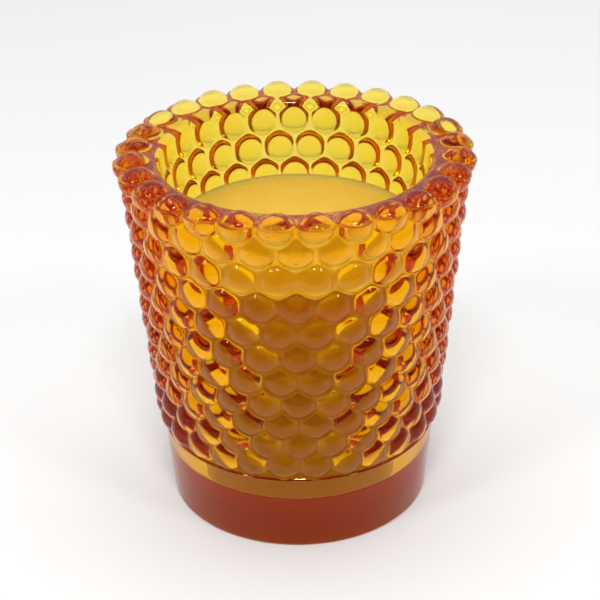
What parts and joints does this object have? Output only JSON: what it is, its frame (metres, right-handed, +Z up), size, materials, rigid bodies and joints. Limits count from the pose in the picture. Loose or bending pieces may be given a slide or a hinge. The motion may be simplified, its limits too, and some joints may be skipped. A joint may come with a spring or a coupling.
{
  "type": "votive candle holder",
  "caption": "Tapered amber pressed-glass votive cup with rings of round beads on its wall and rim, filled with wax and a short wick.",
  "frame": {"origin": "centre of the foot, on the surface that the cup stands on", "axes": "+Z up through the open mouth, -Y towards the front, +X to the right seen from the front"},
  "size_m": [0.0632, 0.0632, 0.0687],
  "materials": {
    "amber_glass": "clear amber soda-lime glass, fire polished",
    "wax": "poured beeswax-coloured wax, matte and slightly translucent",
    "cotton_wick": "braided cotton, waxed, charred at the tip",
    "tinned_steel": "thin tinned steel sheet"
  },
  "bodies": {
    "root": {"glass_holder": "amber_glass", "wax_fill": "wax", "wick": "cotton_wick", "wick_sustainer": "tinned_steel"}
  },
  "joints": []
}
